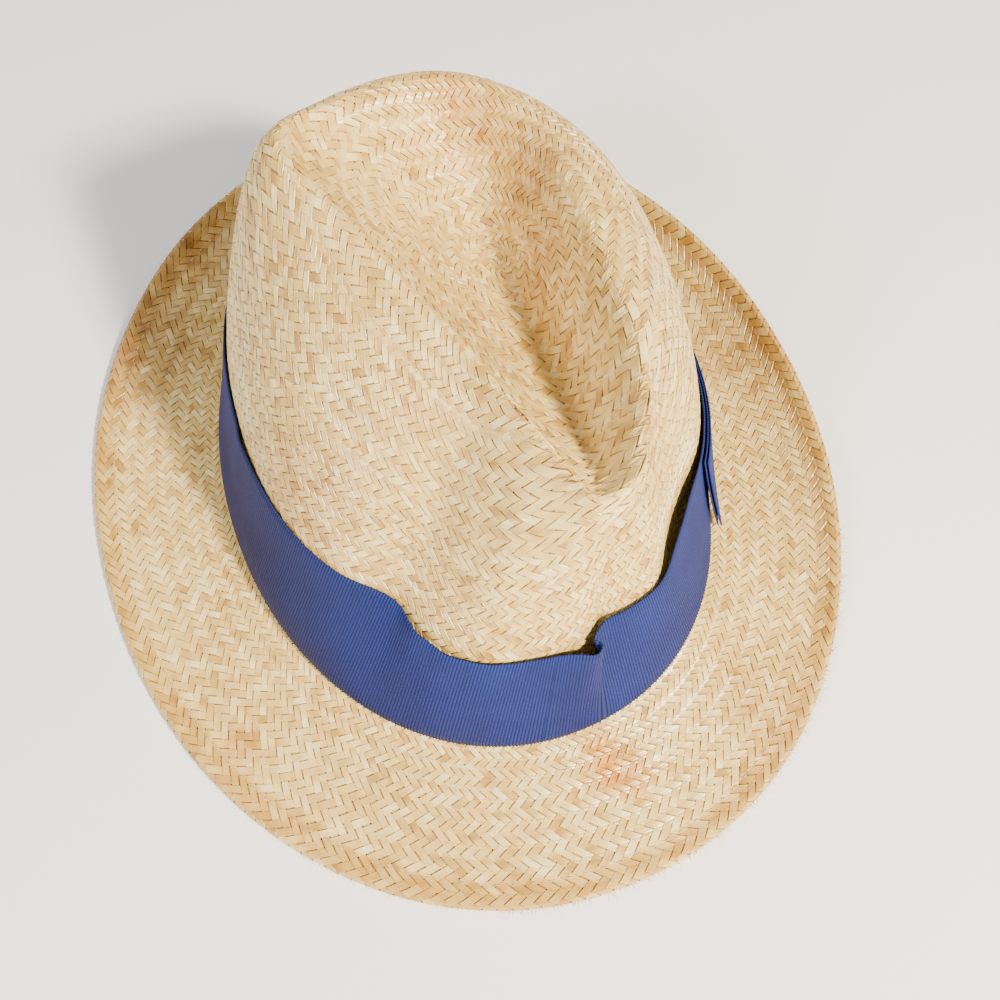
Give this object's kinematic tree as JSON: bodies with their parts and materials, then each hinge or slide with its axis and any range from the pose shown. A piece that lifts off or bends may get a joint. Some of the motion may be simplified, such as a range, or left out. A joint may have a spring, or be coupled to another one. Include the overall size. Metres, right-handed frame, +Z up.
{
  "type": "fedora hat",
  "caption": "Woven straw fedora with a pinched teardrop crown, a curled wired brim, a grosgrain band with a flat side bow and a leather sweatband.",
  "frame": {"origin": "centre of the head opening, on the level surface that the hat stands on", "axes": "+Z up through the crown, -Y towards the front of the hat, +X towards the wearer's left, where the bow is"},
  "size_m": [0.2585, 0.3055, 0.1175],
  "materials": {
    "palm_straw": "satin",
    "brim_wire": "satin",
    "grosgrain": "matte",
    "sweat_leather": "matte",
    "reed": "matte"
  },
  "bodies": {
    "hat": {"straw_body": "palm_straw", "brim_wire": "brim_wire", "hatband": "grosgrain", "bow_knot": "grosgrain", "sweatband": "sweat_leather", "sweatband_reed": "reed"},
    "bow_front": {"bow_front_leaf": "grosgrain"},
    "bow_rear": {"bow_rear_leaf": "grosgrain"}
  },
  "joints": [
    {"name": "bow_front_fold", "type": "hinge", "parent": "hat", "child": "bow_front", "pos_m": [0.08286, 0.01029, 0.0265], "axis": [-0.0809, -0.0076, 0.9967], "range_deg": [0, 32], "stiffness_Nm_per_rad": 0.0006},
    {"name": "bow_rear_fold", "type": "hinge", "parent": "hat", "child": "bow_rear", "pos_m": [0.08205, 0.02134, 0.0265], "axis": [0.064, 0.011, -0.9979], "range_deg": [0, 32], "stiffness_Nm_per_rad": 0.0006}
  ]
}
